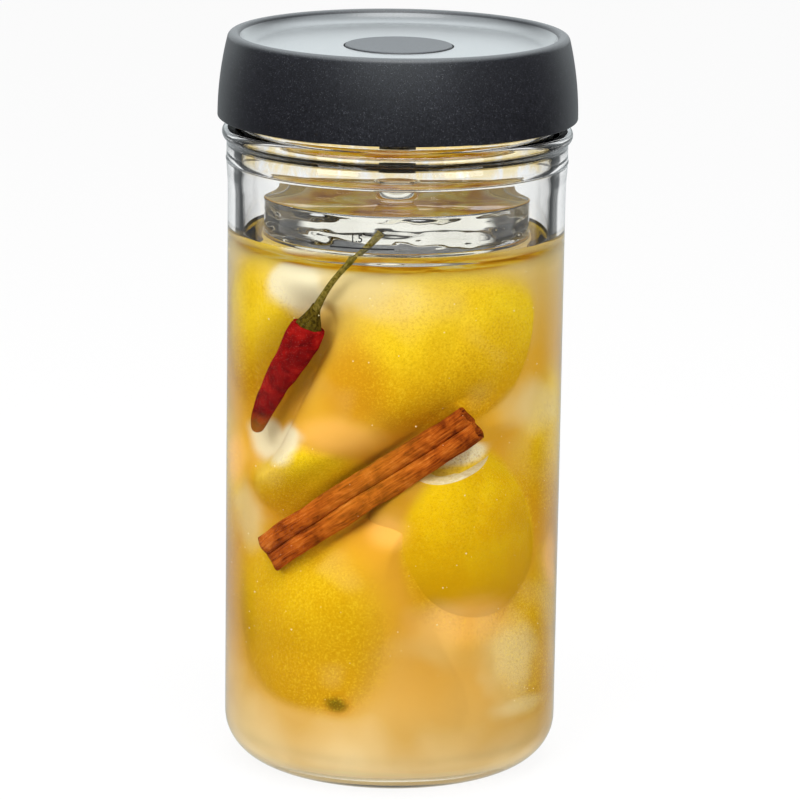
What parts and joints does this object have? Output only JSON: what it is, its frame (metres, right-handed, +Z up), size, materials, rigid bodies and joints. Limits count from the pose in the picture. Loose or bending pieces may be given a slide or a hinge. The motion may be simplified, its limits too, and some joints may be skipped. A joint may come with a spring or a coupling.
{
  "type": "fermentation jar",
  "caption": "Straight thick-walled glass jar with a dark screw lid, a push-button vent valve in the lid and a loose glass weight with a knob that holds food under brine.",
  "frame": {"origin": "middle of the base, on the surface that the jar stands on", "axes": "+Z up along the axis of the jar and lid; the printed fill line faces -Y"},
  "size_m": [0.1212, 0.1212, 0.2506],
  "materials": {
    "jar_glass": "clear pressed glass, polished",
    "weight_glass": "clear pressed glass, slightly wavy",
    "cover_plastic": "satin, fine speckled grain",
    "inner_plastic": "satin",
    "button_plastic": "satin, fine grain",
    "silicone": "matte silicone",
    "spring_steel": "drawn stainless wire"
  },
  "bodies": {
    "jar": {"glass_jar": "jar_glass"},
    "weight": {"glass_weight": "weight_glass"},
    "seal": {"lid_seal": "silicone"},
    "lid": {"lid_cover": "cover_plastic", "screw_insert": "inner_plastic", "valve_housing": "inner_plastic", "housing_gasket": "silicone", "housing_nut": "inner_plastic", "valve_spring": "spring_steel"},
    "button": {"valve_button": "button_plastic", "valve_stem": "inner_plastic", "valve_plug": "silicone"}
  },
  "joints": [
    {"name": "weight_lift", "type": "slide", "parent": "jar", "child": "weight", "axis": [0, 0, 1], "range_m": [0, 0.003]},
    {"name": "lid_lift", "type": "slide", "parent": "jar", "child": "seal", "axis": [0, 0, 1], "range_m": [0, 0.06]},
    {"name": "lid_turn", "type": "hinge", "parent": "seal", "child": "lid", "pos_m": [0, 0, 0.2225], "axis": [0, 0, 1], "range_deg": [0, 300]},
    {"name": "button_press", "type": "slide", "parent": "lid", "child": "button", "axis": [0, 0, -1], "range_m": [0, 0.0025], "stiffness_N_per_m": 500, "springref_m": -0.004, "deforming": ["valve_spring"]}
  ]
}
